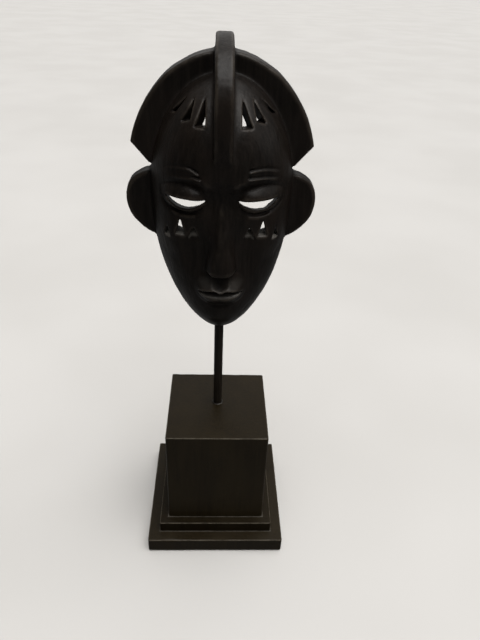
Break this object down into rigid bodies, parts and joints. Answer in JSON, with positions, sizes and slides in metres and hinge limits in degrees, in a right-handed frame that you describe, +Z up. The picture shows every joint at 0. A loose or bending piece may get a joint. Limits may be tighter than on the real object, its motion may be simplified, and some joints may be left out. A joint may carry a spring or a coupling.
{
  "type": "carved wooden mask on a display stand",
  "caption": "Dark carved wooden face mask with a fin crest, arched halo, lug ears and pierced eyes and slots, on a steel rod over a stepped square stand.",
  "frame": {"origin": "centre of the felt's underside, under the base plate, where the stand meets the table", "axes": "+X to the right of a viewer who faces the mask, +Y to the back, +Z up; the mask looks along -Y"},
  "size_m": [0.1462, 0.132, 0.4589],
  "materials": {
    "felt": "black pressed felt",
    "stand_wood": "near-black stain under satin lacquer, faint vertical grain, rubbed edges",
    "screw_metal": "yellow zinc plate",
    "bush_metal": "dull turned steel",
    "rod_steel": "satin black paint over steel",
    "mask_wood": "near-black brown stain, hand-rubbed to a half gloss over knife marks and grain"
  },
  "bodies": {
    "stand": {"felt_base": "felt", "base_plate": "stand_wood", "step_plate": "stand_wood", "pedestal_block": "stand_wood", "base_screw_1": "screw_metal", "base_screw_2": "screw_metal", "base_screw_3": "screw_metal", "base_screw_4": "screw_metal", "block_screw_1": "screw_metal", "block_screw_2": "screw_metal", "block_screw_3": "screw_metal", "block_screw_4": "screw_metal", "rod_bush": "bush_metal"},
    "rod": {"support_rod": "rod_steel"},
    "mask": {"mask": "mask_wood"}
  },
  "joints": [
    {"name": "mask_turn", "type": "hinge", "parent": "stand", "child": "rod", "pos_m": [0, 0.0045, 0.135], "axis": [0, 0, 1], "continuous": true},
    {"name": "mask_lift", "type": "slide", "parent": "rod", "child": "mask", "axis": [0, 0, 1], "range_m": [0, 0.07]}
  ]
}
